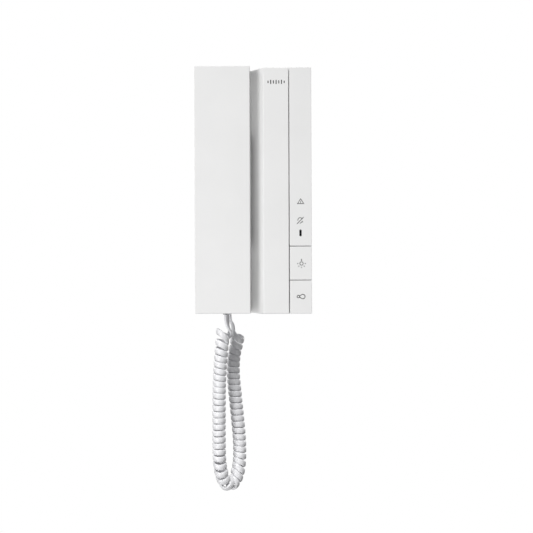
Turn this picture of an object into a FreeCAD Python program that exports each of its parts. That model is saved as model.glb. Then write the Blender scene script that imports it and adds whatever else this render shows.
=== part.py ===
import FreeCAD, Part
import math
import os
import re
import Sketcher
from FreeCAD import Vector

# A slim wall-mounted door-entry handset with a curly cord, in millimetres.
# X is to the right, Z is up and the wall is the plane Y = 0. Everything stands out of the wall
# towards -Y, so a "depth" below is a distance out from the wall, and Y = -depth.
# The origin is the middle of the two wall screws, on the back of the wall plate.

SIZES = (
    # the casing
    ("body_width", 98, "across the whole body"),
    ("body_height", 206, "top to bottom"),
    ("body_depth", 31, "depth of the flat front block"),
    ("wall", 2, "thickness of the moulded walls"),
    ("end_draft", 0.8, "lean of the top and bottom ends"),
    ("edge_round", 0.6, "radius of the outer edges"),
    ("crest_round", 1.2, "radius where the channel meets the front block"),
    ("cradle_floor", 15, "depth of the floor behind the handset"),
    ("channel_foot", -2, "X where the finger channel's slope starts"),
    ("channel_crest", 8.7, "X where the slope reaches the front block"),
    # the strip of keys on the right
    ("strip_left", 30.6, "X of the strip's left side"),
    ("strip_gap", 0.6, "width of the gap lines"),
    ("strip_floor", 24, "depth of the floor under the strip"),
    ("lip_inset", 1.1, "from the outer face to the floor's lip"),
    ("lip_width", 1, "thickness of the lip"),
    ("lip_top", 27.2, "depth of the lip's top"),
    ("skirt", 0.8, "thickness of a cap's sides"),
    ("panel_rear", 24.3, "depth of the fixed panel's rear edge"),
    ("key_rear", 25.6, "depth of a key cap's rear edge"),
    ("light_line", -46.5, "Z of the gap above the light key"),
    ("door_line", -74.9, "Z of the gap above the door key"),
    ("key_column", 39.65, "X of the keys' and lamp's centre line"),
    ("lamp_height", -35.4, "Z of the lamp window"),
    ("lamp_slot", 1.95, "width of the slot for the lamp window"),
    ("lamp_slot_half", 1.9, "from the slot's middle to the centres of its round ends"),
    ("lamp_play", 0.15, "room round the lamp window in its slot"),
    ("light_height", -60.6, "Z of the light key's switch"),
    ("door_height", -88.9, "Z of the door key's switch"),
    ("key_travel", 1.2, "how far a key goes in"),
    ("key_post", 5, "diameter of the post inside a key"),
    # the handset
    ("handset_left", -48.3, "X of the handset's left side"),
    ("handset_width", 46, "across the handset"),
    ("handset_rise", 0.5, "how far the handset's ends sit above the casing's ends"),
    ("handset_front", 37, "depth of the handset's front"),
    ("handset_rear", 15.5, "depth of the handset's thick ends"),
    ("shell_joint", 24, "depth where the two handset shells meet"),
    ("joint_round", 0.3, "radius of the shells' edges along their joint"),
    ("grip_rear", 21, "depth of the thinner grip's back"),
    ("grip_half", 41, "half length of the thin grip"),
    ("land_start", 49, "Z where the thick ends begin"),
    ("handset_middle", -25.8, "X of the handset's sound parts and screws"),
    ("ear_height", 82, "Z of the earpiece"),
    ("mouth_height", -77, "Z of the microphone"),
    # the cradle that carries the handset
    ("lift_rise", 0.577, "rise of the handset per millimetre outward"),
    ("lug_front", 20, "depth of the lugs' tips"),
    ("lug_left", -36, "X of the lugs' left side"),
    ("lug_width", 20, "across a lug"),
    ("lug_height", 9, "height of a lug"),
    ("upper_lug", 51, "Z of the upper lug's foot"),
    ("lower_lug", -61, "Z of the lower lug's foot"),
    ("lug_play", 0.5, "room round a lug in the handset"),
    # the wall plate
    ("plate_depth", 2, "thickness of the wall plate"),
    ("plate_play", 0.4, "room between the plate and the cover"),
    ("screw_spacing", 60, "between the two wall screws"),
    ("slot_width", 4.2, "width of a wall screw slot"),
    ("slot_length", 8, "end to end length of a slot"),
    ("cable_left", -22, "X of the cable aperture's left side"),
    ("cable_right", -6, "X of its right side"),
    ("cable_half", 14, "half its height"),
    ("cover_screw_x", -5, "X of the screw that holds the cover"),
    ("cover_screw_depth", 8, "depth of that screw"),
    # the circuit board
    ("board_left", 6, "X of the board's left edge"),
    ("board_right", 45.5, "X of its right edge"),
    ("board_bottom", -93.5, "Z of its lower edge"),
    ("board_top", 40, "Z of its upper edge"),
    ("board_rear", 5, "depth of its rear face"),
    ("board_thickness", 1.6, "its thickness"),
    ("board_screw_inset", 3.5, "from its side to a screw"),
    ("board_screw_low", -75, "Z of its lower screws"),
    ("board_screw_high", 36, "Z of its upper screws"),
    ("switch_size", 6.2, "side of a key's switch"),
    ("switch_height", 5, "height of a key's switch"),
    ("switch_bore", 4.2, "diameter of its bore"),
    ("switch_bore_depth", 3, "depth of its bore"),
    ("stem_diameter", 3.5, "diameter of its stem"),
    ("stem_tip", 10.1, "depth of the stem's inner end"),
    ("stem_top", 13.6, "depth where the stem meets the key's post"),
    # the hook switch
    ("hook_x", -40, "X of the hook plunger"),
    ("hook_z", -72, "Z of the hook plunger"),
    ("hook_stem", 4, "diameter of the plunger"),
    ("hook_travel", 3, "how far the plunger comes out"),
    ("hook_tip", 15.3, "depth of the plunger's tip while the handset rests"),
    # sound parts
    ("sounder_x", -27, "X of the call sounder"),
    ("sounder_z", 30, "Z of the call sounder"),
    ("sounder_diameter", 30, "its diameter"),
    ("receiver_diameter", 30, "diameter of the earpiece capsule"),
    ("mouth_diameter", 9.7, "diameter of the microphone capsule"),
    # cord and its connectors
    ("cord_width", 4.9, "width of the flat cord"),
    ("coil_diameter", 11.3, "outer diameter of the curly part"),
    ("plug_width", 7.6, "width of a cord plug"),
    ("plug_height", 6.6, "height of a cord plug"),
    ("plug_play", 0.3, "room round a plug"),
    ("jack_width", 12, "width of a jack"),
    ("jack_height", 10.4, "height of a jack"),
    ("jack_top", -86, "Z of a jack's closed end"),
    ("jack_bottom", -100.1, "Z of a jack's mouth"),
    ("handset_exit_x", -22.4, "X where the cord leaves the handset"),
    ("handset_exit_depth", 29.5, "depth where it leaves the handset"),
    ("base_exit_x", -20.3, "X where the cord leaves the base"),
    ("base_exit_depth", 7.6, "depth where it leaves the base"),
    ("cord_exit_z", -103.4, "Z of the cord's ends"),
)

# The routes' corners, (X, Y, Z): straight runs joined by arcs. The curly cord hangs from the base,
# turns at the bottom and rises in front of itself to the handset.
BASE_LEAD = (
    (-20.3, -7.6, -103.4),
    (-20.3, -7.6, -108.4),
    (-17.6, -7.8, -113.6),
    (-14.4, -8.0, -118.4),
    (-13.1, -8.0, -124.3),
)
COIL = (
    (-13.1, -8.0, -124.3),
    (-14.7, -8.0, -130.0),
    (-17.1, -7.9, -139.0),
    (-17.9, -7.9, -153.0),
    (-16.4, -8.4, -170.0),
    (-14.3, -9.0, -190.0),
    (-12.3, -9.7, -212.0),
    (-12.35, -10.2, -230.0),
    (-14.5, -12.0, -240.6),
    (-17.9, -15.0, -247.7),
    (-23.3, -19.6, -247.7),
    (-26.8, -22.5, -240.6),
    (-29.0, -24.4, -229.0),
    (-29.3, -25.4, -214.0),
    (-29.2, -26.3, -193.0),
    (-28.9, -27.6, -161.0),
    (-27.2, -28.1, -135.0),
    (-25.5, -28.3, -118.5),
)
HANDSET_LEAD = (
    (-25.5, -28.3, -118.5),
    (-24.6, -28.7, -113.6),
    (-22.4, -29.5, -108.4),
    (-22.4, -29.5, -103.4),
)
RECEIVER_WIRE = (
    (-14.0, -23.5, 66.0),
    (-9.5, -26.5, 52.0),
    (-9.0, -27.0, 20.0),
    (-9.4, -27.0, -20.0),
    (-9.2, -26.0, -58.0),
    (-13.0, -25.0, -80.0),
    (-14.0, -24.9, -84.2),
)
MOUTH_WIRE = (
    (-27.8, -24.3, -79.0),
    (-29.0, -26.4, -82.0),
    (-31.0, -26.4, -84.6),
    (-32.0, -24.9, -87.0),
)
SOUNDER_WIRE = (
    (-14.0, -7.0, 20.0),
    (-5.5, -8.0, 18.4),
    (1.0, -9.0, 12.0),
    (7.4, -9.0, 10.6),
)
HOOK_WIRE = (
    (-34.9, -5.0, -72.0),
    (-22.0, -5.4, -71.0),
    (-8.0, -6.4, -64.0),
    (3.0, -9.0, -62.6),
    (8.2, -8.6, -61.8),
)
WIRE_DIAMETER = 1.6
ARC_SHARE = 0.45

ALIASES = {alias for alias, _, _ in SIZES}
PLANES = {"front": "XZ_Plane", "level": "XY_Plane", "side": "YZ_Plane"}

doc = FreeCAD.newDocument("wall_handset")


def make_sheet():
    sheet = doc.addObject("Spreadsheet::Sheet", "Sizes")
    for row, (alias, number, meaning) in enumerate(SIZES, start=1):
        sheet.set(f"A{row}", meaning)
        sheet.set(f"B{row}", str(number))
        sheet.setAlias(f"B{row}", alias)
    doc.recompute()
    return sheet


def formula(text):
    """Puts the sheet's name before each alias in a sum."""
    return re.sub(r"[a-z_]+", lambda word: "Sizes." + word[0] if word[0] in ALIASES else word[0], str(text))


def bind(thing, field, text):
    thing.setExpression(field, formula(text))


# --- building blocks -------------------------------------------------------------------------


def new_body(name):
    body = doc.addObject("PartDesign::Body", name)
    body.Label = name
    return body


def sketch_on(body, plane, offset):
    """A sketch on one of the body's own planes, moved along the plane's normal.

    front looks at the wall: across is X, up is Z and the normal points out of the wall.
    level is seen from above: across is X, up is Y and the normal is Z.
    side is seen from the right: across is Y, up is Z and the normal is X.
    """
    sketch = body.newObject("Sketcher::SketchObject", body.Name + "_sketch")
    support = next(part for part in body.Origin.OriginFeatures if part.Role == PLANES[plane])
    sketch.AttachmentSupport = [(support, "")]
    sketch.MapMode = "FlatFace"
    bind(sketch, "AttachmentOffset.Base.z", offset)
    return sketch


def place_point(sketch, geometry, vertex, start, across, up):
    """Ties one point of the geometry to its two distances from the sketch's origin."""
    for kind, number, text in (("DistanceX", start.x, across), ("DistanceY", start.y, up)):
        index = sketch.addConstraint(Sketcher.Constraint(kind, -1, 1, geometry, vertex, number))
        bind(sketch, f"Constraints[{index}]", text)


def outline(sketch, corners):
    """A closed outline of straight lines through corners given as pairs of sums."""
    count = len(corners)
    first = sketch.GeometryCount
    turn = 2 * math.pi / count
    start = [Vector(math.cos(turn * i), math.sin(turn * i), 0) for i in range(count)]
    for i in range(count):
        sketch.addGeometry(Part.LineSegment(start[i], start[(i + 1) % count]), False)
    for i in range(count):
        sketch.addConstraint(Sketcher.Constraint("Coincident", first + i, 2, first + (i + 1) % count, 1))
    for i, (across, up) in enumerate(corners):
        place_point(sketch, first + i, 1, start[i], across, up)


def circle(sketch, across, up, diameter):
    start = Vector(0, 0, 0)
    index = sketch.addGeometry(Part.Circle(start, Vector(0, 0, 1), 1), False)
    place_point(sketch, index, 3, start, across, up)
    size = sketch.addConstraint(Sketcher.Constraint("Diameter", index, 2))
    bind(sketch, f"Constraints[{size}]", diameter)


def extrude(body, sketch, length, cut=False, symmetric=False):
    """A pad along the sketch's normal, or a pocket against it."""
    feature = body.newObject("PartDesign::Pocket" if cut else "PartDesign::Pad", body.Name + "_step")
    feature.Profile = sketch
    feature.SideType = "Symmetric" if symmetric else "One side"
    bind(feature, "Length", length)
    sketch.Visibility = False
    return feature


def span(low, high):
    return f"({high}) - ({low})"


def box(body, x, depth, z, cut=False):
    """A block between two X, two depths and two Z, added or cut away."""
    sketch = sketch_on(body, "front", depth[1] if cut else depth[0])
    outline(sketch, ((x[0], z[0]), (x[1], z[0]), (x[1], z[1]), (x[0], z[1])))
    return extrude(body, sketch, span(*depth), cut)


def rods(body, places, diameter, depth, cut=False):
    """Round rods or holes that stand out of the wall at each (X, Z)."""
    sketch = sketch_on(body, "front", depth[1] if cut else depth[0])
    for x, z in places:
        circle(sketch, x, z, diameter)
    return extrude(body, sketch, span(*depth), cut)


def upright_rod(body, x, depth, diameter, z, cut=False):
    """A round rod or hole along Z."""
    sketch = sketch_on(body, "level", z[1] if cut else z[0])
    circle(sketch, x, f"-({depth})", diameter)
    return extrude(body, sketch, span(*z), cut)


def slab_from_side(body, x, corners, cut=False):
    """A prism along X whose outline is given as (depth, Z) pairs."""
    sketch = sketch_on(body, "side", x[1] if cut else x[0])
    outline(sketch, [(f"-({depth})", z) for depth, z in corners])
    return extrude(body, sketch, span(*x), cut)


def round_edges(body, radius, chosen):
    """Rounds the body's straight edges whose two ends satisfy the test."""
    doc.recompute()
    names = []
    for number, edge in enumerate(body.Shape.Edges, start=1):
        ends = [vertex.Point for vertex in edge.Vertexes]
        if len(ends) == 2 and isinstance(edge.Curve, Part.Line) and chosen(*ends):
            names.append(f"Edge{number}")
    return fillet_edges(body, radius, names)


def fillet_edges(body, radius, names):
    base = body.Tip
    fillet = body.newObject("PartDesign::Fillet", body.Name + "_round")
    fillet.Base = (base, names)
    bind(fillet, "Radius", radius)
    doc.recompute()
    return fillet


def round_rim(body, radius, depth):
    """Rounds the circles that lie at one depth."""
    doc.recompute()
    names = []
    for number, edge in enumerate(body.Shape.Edges, start=1):
        box_of_edge = edge.BoundBox
        if abs(box_of_edge.YMin + depth) < 0.01 and abs(box_of_edge.YMax + depth) < 0.01:
            names.append(f"Edge{number}")
    return fillet_edges(body, radius, names)


def on_plane(axis, number):
    """A test that is true for edges that lie in one plane, such as Y = -31."""
    return lambda a, b: abs(a[axis] - number) < 0.01 and abs(b[axis] - number) < 0.01


def along(axis):
    """A test that is true for edges parallel to one axis."""
    others = [index for index in range(3) if index != axis]
    return lambda a, b: all(abs(a[index] - b[index]) < 0.01 for index in others)


def arcs_and_runs(points):
    """Straight runs joined by tangent arcs, as large as the runs allow, and the arcs' radii."""
    places = [Vector(*point) for point in points]
    edges = []
    radii = []
    here = places[0]
    for before, corner, after in zip(places, places[1:], places[2:]):
        inward = (corner - before).normalize()
        outward = (after - corner).normalize()
        half_turn = inward.getAngle(outward) / 2
        reach = ARC_SHARE * min(before.distanceToPoint(corner), corner.distanceToPoint(after))
        radius = reach / math.tan(half_turn)
        start = corner - inward * reach
        end = corner + outward * reach
        centre = corner + (outward - inward).normalize() * (radius / math.cos(half_turn))
        middle = centre + (corner - centre).normalize() * radius
        edges.append(Part.LineSegment(here, start).toShape())
        edges.append(Part.Arc(start, middle, end).toShape())
        radii.append(radius)
        here = end
    edges.append(Part.LineSegment(here, places[-1]).toShape())
    return Part.Wire(edges), radii


def tube(name, points, diameter):
    """A round tube along a route, with its arcs' radii and its volume printed."""
    path, radii = arcs_and_runs(points)
    direction = Vector(*points[1]) - Vector(*points[0])
    ring = Part.Circle(Vector(*points[0]), direction, diameter / 2).toShape()
    feature = doc.addObject("Part::Feature", name)
    feature.Label = name
    feature.Shape = path.makePipeShell([Part.Wire(ring)], True, False)
    expected = math.pi * diameter**2 / 4 * path.Length
    print(f"{name}: length {path.Length:.1f}, radii {[round(radius, 1) for radius in radii]},", end=" ")
    print(f"volume {feature.Shape.Volume:.0f} of {expected:.0f}")
    return feature


# --- casing ----------------------------------------------------------------------------------


def trim_ends(body, front_depth):
    """Cuts the slight lean of the top and bottom ends, from the front edge back to the wall."""
    for sign in ("", "-"):
        end = f"{sign}(body_height / 2)"
        corners = (
            (front_depth, end),
            ("0", f"{sign}(body_height / 2 - end_draft)"),
            ("0", f"{sign}(body_height / 2 + 2)"),
            (front_depth, f"{sign}(body_height / 2 + 2)"),
        )
        slab_from_side(body, ("-body_width", "body_width"), corners, cut=True)


def wall_plate():
    """The flat plate that is screwed to the wall and carries the board, the jack and the cover."""
    body = new_body("wall_plate")
    half_width = "body_width / 2 - wall - plate_play"
    half_height = "body_height / 2 - wall - plate_play - end_draft"
    box(body, (f"-({half_width})", half_width), ("0", "plate_depth"), (f"-({half_height})", half_height))
    for sign in ("", "-"):
        middle = f"{sign}(screw_spacing / 2)"
        straight = "(slot_length - slot_width) / 2"
        ends = (f"{middle} - {straight}", f"{middle} + {straight}")
        box(body, ("-slot_width / 2", "slot_width / 2"), ("-1", "plate_depth + 1"), ends, cut=True)
        rods(body, (("0", ends[0]),), "slot_width", ("-1", "plate_depth + 1"), cut=True)
        rods(body, (("0", ends[1]),), "slot_width", ("-1", "plate_depth + 1"), cut=True)
    aperture = ("-cable_half", "cable_half")
    box(body, ("cable_left", "cable_right"), ("-1", "plate_depth + 1"), aperture, cut=True)
    posts = board_screw_places()
    rods(body, posts, "6", ("plate_depth", "board_rear"))
    rods(body, posts, "2.2", ("0.6", "board_rear"), cut=True)
    boss_z = ("-body_height / 2 + wall + 1.4", "-body_height / 2 + 12")
    box(body, ("cover_screw_x - 4", "cover_screw_x + 4"), ("plate_depth", "cover_screw_depth + 4"), boss_z)
    upright_rod(body, "cover_screw_x", "cover_screw_depth", "2.2", boss_z, cut=True)
    for x in ("-30", "22"):
        hook_foot = ("body_height / 2 - 6", half_height)
        box(body, (x, f"{x} + 8"), ("plate_depth", "7"), hook_foot)
        box(body, (x, f"{x} + 8"), ("4.6", "7"), (half_height, "body_height / 2 - 1.6"))
    for x in ("sounder_x - 10", "sounder_x + 10"):
        rods(body, ((x, "sounder_z"),), "5", ("plate_depth", "5"))
    return body


def board_screw_places():
    left = "board_left + board_screw_inset"
    right = "board_right - board_screw_inset"
    return [(x, z) for x in (left, right) for z in ("board_screw_low", "board_screw_high")]


def front_cover():
    """The moulded cover: cradle floor, sloped finger channel, front block and the keys' recess."""
    body = new_body("front_cover")
    side = "body_width / 2"
    block_right = "strip_left - strip_gap"
    outer = sketch_on(body, "level", "0")
    outline(
        outer,
        (
            (f"-{side}", "0"),
            (f"-{side}", "-cradle_floor"),
            ("channel_foot", "-cradle_floor"),
            ("channel_crest", "-body_depth"),
            (block_right, "-body_depth"),
            (block_right, "-strip_floor"),
            (side, "-strip_floor"),
            (side, "0"),
        ),
    )
    extrude(body, outer, "body_height", symmetric=True)
    trim_ends(body, "body_depth")
    round_cover_edges(body)
    inner = sketch_on(body, "level", "0")
    outline(
        inner,
        (
            (f"-{side} + wall", "1"),
            (f"-{side} + wall", "-cradle_floor + wall"),
            ("channel_foot + wall / 2", "-cradle_floor + wall"),
            ("channel_crest + wall / 2", "-body_depth + wall"),
            (f"{block_right} - wall", "-body_depth + wall"),
            (f"{block_right} - wall", "-strip_floor + wall"),
            (f"{side} - wall", "-strip_floor + wall"),
            (f"{side} - wall", "1"),
        ),
    )
    extrude(body, inner, "body_height - 2 * wall - end_draft", cut=True, symmetric=True)
    add_cover_lips(body)
    add_cradle_lugs(body)
    cut_cover_holes(body)
    return body


def round_cover_edges(body):
    sheet = doc.Sizes
    crest = sheet.channel_crest
    block_right = sheet.strip_left - sheet.strip_gap
    half_width = sheet.body_width / 2
    upright = along(2)

    def is_crest(a, b):
        return upright(a, b) and abs(a.x - crest) < 0.01

    def is_outer(a, b):
        if upright(a, b):
            far_side = abs(abs(a.x) - half_width) < 0.01 and a.y < -1
            return far_side or (abs(a.x - block_right) < 0.01 and a.y < -sheet.strip_floor - 1)
        return on_plane(1, -sheet.body_depth)(a, b) and not upright(a, b)

    round_edges(body, "crest_round", is_crest)
    round_edges(body, "edge_round", is_outer)


def add_cover_lips(body):
    """A lip round the keys' recess, inside the caps' skirts, so that no gap looks through."""
    outer_x = "body_width / 2 - lip_inset"
    outer_z = "body_height / 2 - lip_inset"
    left = "strip_left + lip_inset"
    depth = ("strip_floor - 0.5", "lip_top")
    box(body, (f"{outer_x} - lip_width", outer_x), depth, (f"-({outer_z})", outer_z))
    box(body, (left, outer_x), depth, (f"{outer_z} - lip_width", outer_z))
    box(body, (left, outer_x), depth, (f"-({outer_z})", f"-({outer_z}) + lip_width"))


def lug_corners(foot, play):
    """A lug's outline from the side: it leans up by lift_rise for each millimetre outward."""
    root = "cradle_floor - 0.5"
    lean_at_root = "0.5 * lift_rise"
    lean_at_tip = "(lug_front - cradle_floor) * lift_rise"
    return (
        (root, f"{foot} - {lean_at_root} - {play}"),
        (f"lug_front + {play}", f"{foot} + {lean_at_tip} + {play} * lift_rise - {play}"),
        (f"lug_front + {play}", f"{foot} + lug_height + {lean_at_tip} + {play} * lift_rise + {play}"),
        (root, f"{foot} + lug_height - {lean_at_root} + {play}"),
    )


def add_cradle_lugs(body):
    for foot in ("upper_lug", "lower_lug"):
        slab_from_side(body, ("lug_left", "lug_left + lug_width"), lug_corners(foot, "0"))


def cut_cover_holes(body):
    floor = ("cradle_floor - wall - 1", "cradle_floor + 1")
    rods(body, (("hook_x", "hook_z"),), "hook_stem + 1", floor, cut=True)
    for row in range(-3, 4):
        z = f"sounder_z + {3.2 * row}"
        slot = ("sounder_x - 8", "sounder_x + 8")
        box(body, slot, floor, (f"{z} - 0.7", f"{z} + 0.7"), cut=True)
    under_strip = ("strip_floor - wall - 1", "strip_floor + 1")
    keys = (("key_column", "light_height"), ("key_column", "door_height"))
    rods(body, keys, "key_post + 1", under_strip, cut=True)
    box(
        body,
        ("key_column - 2", "key_column + 2"),
        under_strip,
        ("lamp_height - 3.6", "lamp_height + 3.6"),
        cut=True,
    )
    bottom = ("-body_height / 2 - 1", "-body_height / 2 + wall + 1")
    cut_plug_mouth(body, "base_exit_x", "base_exit_depth", bottom)
    upright_rod(body, "cover_screw_x", "cover_screw_depth", "3.2", bottom, cut=True)
    head_seat = ("-body_height / 2 - 1", "-body_height / 2 + 1")
    upright_rod(body, "cover_screw_x", "cover_screw_depth", "5.8", head_seat, cut=True)
    for x in ("-30", "22"):
        pocket_z = ("body_height / 2 - wall - 1", "body_height / 2 - 1.3")
        box(body, (f"{x} - 0.5", f"{x} + 8.5"), ("4.2", "7.5"), pocket_z, cut=True)


def cut_plug_mouth(body, x, depth, z):
    """The square hole that a cord plug goes through."""
    half_width = "plug_width / 2 + plug_play"
    half_height = "plug_height / 2 + plug_play"
    box(
        body,
        (f"{x} - ({half_width})", f"{x} + {half_width}"),
        (f"{depth} - ({half_height})", f"{depth} + {half_height}"),
        z,
        cut=True,
    )


# --- the strip of keys -----------------------------------------------------------------------


def strip_cap(name, rear, z, open_ends):
    """A thin-walled cap in the strip: a front and skirts, with the outer corners rounded."""
    body = new_body(name)
    x = ("strip_left", "body_width / 2")
    box(body, x, (rear, "body_depth"), z)
    sheet = doc.Sizes
    front = -sheet.body_depth
    half_width = sheet.body_width / 2

    def is_visible(a, b):
        return on_plane(1, front)(a, b) or (along(1)(a, b) and abs(a.x - half_width) < 0.01)

    round_edges(body, "edge_round * 0.6", is_visible)
    inner_x = ("strip_left + skirt", "body_width / 2 - skirt")
    low = f"{z[0]} + skirt"
    high = f"{z[1]} - skirt"
    box(body, inner_x, (f"{rear} - 1", "body_depth - wall"), (low, high), cut=True)
    if open_ends:
        relief = ("body_width / 2 - 3", "body_width / 2 - skirt")
        box(body, relief, (f"{rear} - 1", "lip_top + key_travel + 0.3"), open_ends, cut=True)
    return body


def side_panel():
    """The long fixed panel over the keys, with the slot for the lamp window."""
    z = ("light_line + strip_gap / 2", "body_height / 2")
    body = strip_cap("side_panel", "panel_rear", z, ("light_line - 1", "light_line + 3"))
    through = ("body_depth - wall - 1", "body_depth + 1")
    ends = ("lamp_height - lamp_slot_half", "lamp_height + lamp_slot_half")
    box(body, ("key_column - lamp_slot / 2", "key_column + lamp_slot / 2"), through, ends, cut=True)
    for end in ends:
        rods(body, (("key_column", end),), "lamp_slot", through, cut=True)
    for peg in ("80", "0"):
        foot = (peg, f"{peg} + 8")
        box(body, ("strip_left + skirt", "strip_left + 3"), ("strip_floor + 0.1", "26"), foot)
    return body


def key_cap(name, z, height, relief):
    """A push key with a round post behind it that reaches the switch."""
    body = strip_cap(name, "key_rear", z, relief)
    rods(body, (("key_column", height),), "key_post", ("stem_top", "body_depth - wall + 0.5"))
    return body


def light_button():
    z = ("door_line + strip_gap / 2", "light_line - strip_gap / 2")
    return key_cap("light_button", z, "light_height", ("door_line - 1", "light_line + 1"))


def door_button():
    z = ("-body_height / 2", "door_line - strip_gap / 2")
    return key_cap("door_button", z, "door_height", ("door_line - 3", "door_line + 1"))


def switch_stem(name, height):
    body = new_body(name)
    rods(body, (("key_column", height),), "stem_diameter", ("stem_tip", "stem_top"))
    return body


def key_switch(name, height):
    """The switch under a key: a square case on the board with a round bore for its stem."""
    body = new_body(name)
    rear = "board_rear + board_thickness"
    top = f"{rear} + switch_height"
    half = "switch_size / 2"
    x = (f"key_column - {half}", f"key_column + {half}")
    box(body, x, (rear, top), (f"{height} - {half}", f"{height} + {half}"))
    rods(body, (("key_column", height),), "switch_bore", (f"{top} - switch_bore_depth", top), cut=True)
    return body


def indicator_window():
    """The dark light guide: its head fills the slot in the panel and its bar reaches the lamp."""
    body = new_body("indicator_window")
    half = "(lamp_slot / 2 - lamp_play)"
    depth = ("14", "body_depth - 0.1")
    ends = ("lamp_height - lamp_slot_half", "lamp_height + lamp_slot_half")
    box(body, (f"key_column - {half}", f"key_column + {half}"), depth, ends)
    for end in ends:
        rods(body, (("key_column", end),), f"2 * {half}", depth)
    flange = ("lamp_height - 5", "lamp_height + 5")
    box(body, ("key_column - 3", "key_column + 3"), ("27.4", "28.8"), flange)
    return body


def indicator_led():
    body = new_body("indicator_led")
    rear = "board_rear + board_thickness"
    rods(body, (("key_column", "lamp_height"),), "5.8", (rear, f"{rear} + 1"))
    rods(body, (("key_column", "lamp_height"),), "5", (f"{rear} + 1", f"{rear} + 5.4"))
    round_rim(body, "2.2", doc.Sizes.board_rear + doc.Sizes.board_thickness + 5.4)
    return body


# --- electronics -----------------------------------------------------------------------------


def circuit_board():
    body = new_body("circuit_board")
    depth = ("board_rear", "board_rear + board_thickness")
    box(body, ("board_left", "board_right"), depth, ("board_bottom", "board_top"))
    rods(body, board_screw_places(), "3", (f"{depth[0]} - 1", f"{depth[1]} + 1"), cut=True)
    return body


def board_screws():
    """Four identical screws as one group of separate solids."""
    top = "board_rear + board_thickness"
    group = []
    for number, (x, z) in enumerate(board_screw_places(), start=1):
        screw = new_body(f"board_screw_{number}")
        rods(screw, ((x, z),), "2.5", ("plate_depth", top))
        rods(screw, ((x, z),), "5", (top, f"{top} + 1.8"))
        cross = (f"{top} + 1", f"{top} + 2.8")
        box(screw, (f"{x} - 1.6", f"{x} + 1.6"), cross, (f"{z} - 0.35", f"{z} + 0.35"), cut=True)
        group.append(screw)
    return gather("board_screws", group)


def gather(name, bodies):
    """Joins identical solids into one named group without fusing them."""
    doc.recompute()
    feature = doc.addObject("Part::Compound", name)
    feature.Label = name
    feature.Links = bodies
    return feature


def terminal_block():
    """The wiring terminals at the board's left edge, open to the side for the house wires."""
    body = new_body("terminal_block")
    rear = "board_rear + board_thickness"
    box(body, ("board_left + 1", "board_left + 11"), (rear, f"{rear} + 9"), ("-16", "4"))
    for way in range(4):
        z = -13.5 + 5 * way
        mouth = (f"{z} - 1.7", f"{z} + 1.7")
        box(body, ("board_left", "board_left + 8"), (f"{rear} + 1.4", f"{rear} + 5"), mouth, cut=True)
        rods(body, (("board_left + 6", z),), "3.4", (f"{rear} + 5", f"{rear} + 10"), cut=True)
    return body


def terminal_screws():
    rear = "board_rear + board_thickness"
    group = []
    for way in range(4):
        z = -13.5 + 5 * way
        screw = new_body(f"terminal_screw_{way + 1}")
        rods(screw, (("board_left + 6", z),), "3", (f"{rear} + 5", f"{rear} + 8.2"))
        slot = (f"{rear} + 7.4", f"{rear} + 9")
        box(screw, ("board_left + 4", "board_left + 8"), slot, (f"{z} - 0.3", f"{z} + 0.3"), cut=True)
        group.append(screw)
    return gather("terminal_screws", group)


def board_capacitors():
    rear = "board_rear + board_thickness"
    group = []
    for number, (x, z) in enumerate((("16", "28"), ("30", "28")), start=1):
        can = new_body(f"capacitor_{number}")
        rods(can, ((x, z),), "8", (rear, f"{rear} + 11.5"))
        rods(can, ((x, z),), "5", (f"{rear} + 11", f"{rear} + 12"), cut=True)
        group.append(can)
    return gather("board_capacitors", group)


def control_chip():
    body = new_body("control_chip")
    rear = "board_rear + board_thickness"
    box(body, ("22", "29.5"), (f"{rear} + 0.2", f"{rear} + 2.4"), ("-34", "-21"))
    for side in ("20.4", "29.5"):
        for pin in range(8):
            z = -33.1 + 1.5 * pin
            box(body, (side, f"{side} + 1.6"), (rear, f"{rear} + 0.7"), (f"{z} - 0.3", f"{z} + 0.3"))
    return body


def call_sounder():
    """The round sounder behind the slots in the cradle floor."""
    body = new_body("call_sounder")
    place = (("sounder_x", "sounder_z"),)
    rods(body, place, "sounder_diameter", ("5", "8"))
    rods(body, place, "sounder_diameter - 6", ("8", "11.6"))
    rods(body, place, "sounder_diameter - 16", ("10.6", "11.6"), cut=True)
    return body


def sounder_gasket():
    body = new_body("sounder_gasket")
    place = (("sounder_x", "sounder_z"),)
    depth = ("8", "cradle_floor - wall")
    rods(body, place, "sounder_diameter", depth)
    rods(body, place, "sounder_diameter - 5.6", ("7", "cradle_floor"), cut=True)
    return body


def hook_switch():
    """The case that the hook plunger slides in, standing on the wall plate."""
    body = new_body("hook_switch")
    x = ("hook_x - 5", "hook_x + 5")
    box(body, x, ("plate_depth", "6.5"), ("hook_z - 6", "hook_z + 6"))
    rods(body, (("hook_x", "hook_z"),), "hook_stem + 0.6", ("2.8", "6.5"), cut=True)
    return body


def hook_spring():
    """The plunger's return spring, shown as the sleeve that it fills when pressed."""
    body = new_body("hook_spring")
    place = (("hook_x", "hook_z"),)
    rods(body, place, "hook_stem + 2.6", ("6.5", "8.3"))
    rods(body, place, "hook_stem + 1", ("6", "9"), cut=True)
    return body


def hook_plunger():
    body = new_body("hook_plunger")
    place = (("hook_x", "hook_z"),)
    rods(body, place, "hook_stem", ("3.3", "hook_tip"))
    rods(body, place, "hook_stem + 3.4", ("8.4", "9.6"))
    round_rim(body, "hook_stem / 2 - 0.8", doc.Sizes.hook_tip)
    return body


# --- handset ---------------------------------------------------------------------------------


def end_height(depth, sign=""):
    """Z of the handset's leaning end at a depth."""
    lean = f"end_draft * (handset_front - ({depth})) / (handset_front - handset_rear)"
    return f"{sign}(body_height / 2 - {lean}) + handset_rise"


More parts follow.
